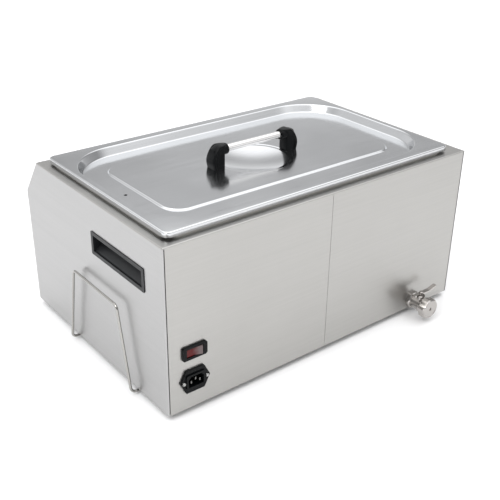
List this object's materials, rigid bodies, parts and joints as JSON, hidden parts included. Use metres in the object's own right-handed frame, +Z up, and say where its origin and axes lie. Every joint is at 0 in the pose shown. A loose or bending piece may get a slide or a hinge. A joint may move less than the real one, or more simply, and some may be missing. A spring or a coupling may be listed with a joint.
{
  "type": "paraffin wax bath",
  "caption": "Stainless countertop wax bath: sheet casing with sloped control fascia, heated tank under a lift-off lid, side cups, wire lid stand, drain tap, rocker switch and mains inlet.",
  "frame": {"origin": "on the table, under the middle of the object's bounding box", "axes": "+X along the casing's long side towards the end with the wire lid stand, +Y towards the back with the drain tap and mains inlet, +Z up"},
  "size_m": [0.5832, 0.441, 0.3022],
  "materials": {
    "steel_sheet": "fine brushed stainless sheet, slightly warm reflections",
    "lid_steel": "bright pressed stainless sheet",
    "tank_steel": "satin pressed stainless sheet",
    "wire": "polished stainless wire and bar",
    "tap_metal": "nickel-plated brass",
    "screws": "bright stainless fasteners",
    "pins": "bright brass terminals",
    "black_plastic": "black moulded plastic, finely textured",
    "key_plastic": "grey moulded plastic",
    "red_plastic": "glossy translucent red plastic",
    "window": "smoked glossy window",
    "rubber": "matt black rubber",
    "seal": "white sealing plastic",
    "heater": "silicone rubber heater mat",
    "insulation": "felted insulation blanket",
    "board": "circuit board",
    "lead_sheath": "heat-resistant sheathed lead"
  },
  "bodies": {
    "casing": {"top_deck": "steel_sheet", "right_end_panel": "steel_sheet", "left_end_panel": "steel_sheet", "rear_panel_right": "steel_sheet", "rear_panel_left": "steel_sheet", "rear_joint_strips": "steel_sheet", "front_panel": "steel_sheet", "base_plate": "steel_sheet", "base_screws": "screws", "rubber_feet": "rubber", "foot_screws": "screws", "deck_collar": "steel_sheet", "wax_tank": "tank_steel", "heater_mat": "heater", "bottom_insulation": "insulation", "side_insulation": "insulation", "temperature_probe": "tank_steel", "thermal_cutout": "black_plastic", "drain_pipe": "tank_steel", "tap_body": "tap_metal", "tap_wall_nut": "tap_metal", "tap_gasket": "rubber", "tap_lock_nut": "tap_metal", "tap_seats": "seal", "tap_nipple": "tap_metal", "tap_gland_nut": "tap_metal", "inlet_body": "black_plastic", "inlet_pins": "pins", "inlet_screws": "screws", "switch_housing": "black_plastic", "switch_terminals": "pins", "right_handle_cup": "black_plastic", "left_handle_cup": "black_plastic", "stand_clips": "steel_sheet", "stand_clip_screws": "screws", "control_bezel": "black_plastic", "display_window": "window", "control_board": "board", "board_standoffs": "pins", "supply_lead": "lead_sheath", "control_leads": "lead_sheath"},
    "lid": {"lid_shell": "lid_steel", "handle_bar": "wire", "right_handle_bracket": "black_plastic", "left_handle_bracket": "black_plastic", "handle_screws": "screws"},
    "grid": {"protective_grid": "tank_steel"},
    "tap_lever": {"tap_lever": "tap_metal", "tap_stem": "tap_metal", "tap_ball": "tap_metal", "tap_lever_screw": "screws"},
    "tap_cap": {"tap_cap": "tap_metal", "tap_cap_gasket": "rubber"},
    "rocker": {"switch_rocker": "red_plastic"},
    "lid_stand": {"lid_stand": "wire"},
    "power_key": {"power_key": "key_plastic"},
    "set_key": {"set_key": "key_plastic"},
    "down_key": {"down_key": "key_plastic"},
    "up_key": {"up_key": "key_plastic"}
  },
  "joints": [
    {"name": "lid_lift", "type": "slide", "parent": "casing", "child": "lid", "axis": [0, 0, 1], "range_m": [0, 0.15]},
    {"name": "grid_lift", "type": "slide", "parent": "casing", "child": "grid", "axis": [0, 0, 1], "range_m": [0, 0.11]},
    {"name": "tap_turn", "type": "hinge", "parent": "casing", "child": "tap_lever", "pos_m": [-0.2004, 0.1975, 0.025], "axis": [0, 0, -1], "range_deg": [0, 90]},
    {"name": "cap_unscrew", "type": "slide", "parent": "casing", "child": "tap_cap", "axis": [0, 1, 0], "range_m": [0, 0.03]},
    {"name": "rocker_press", "type": "hinge", "parent": "casing", "child": "rocker", "pos_m": [0.2361, 0.1755, 0.101], "axis": [0, 0, 1], "range_deg": [0, 20]},
    {"name": "stand_pull", "type": "slide", "parent": "casing", "child": "lid_stand", "axis": [1, 0, 0], "range_m": [0, 0.03]},
    {"name": "power_key_press", "type": "slide", "parent": "casing", "child": "power_key", "axis": [0, 0.7872, -0.6167], "range_m": [0, 0.001], "stiffness_N_per_m": 200},
    {"name": "set_key_press", "type": "slide", "parent": "casing", "child": "set_key", "axis": [0, 0.7872, -0.6167], "range_m": [0, 0.001], "stiffness_N_per_m": 200},
    {"name": "down_key_press", "type": "slide", "parent": "casing", "child": "down_key", "axis": [0, 0.7872, -0.6167], "range_m": [0, 0.001], "stiffness_N_per_m": 200},
    {"name": "up_key_press", "type": "slide", "parent": "casing", "child": "up_key", "axis": [0, 0.7872, -0.6167], "range_m": [0, 0.001], "stiffness_N_per_m": 200}
  ]
}
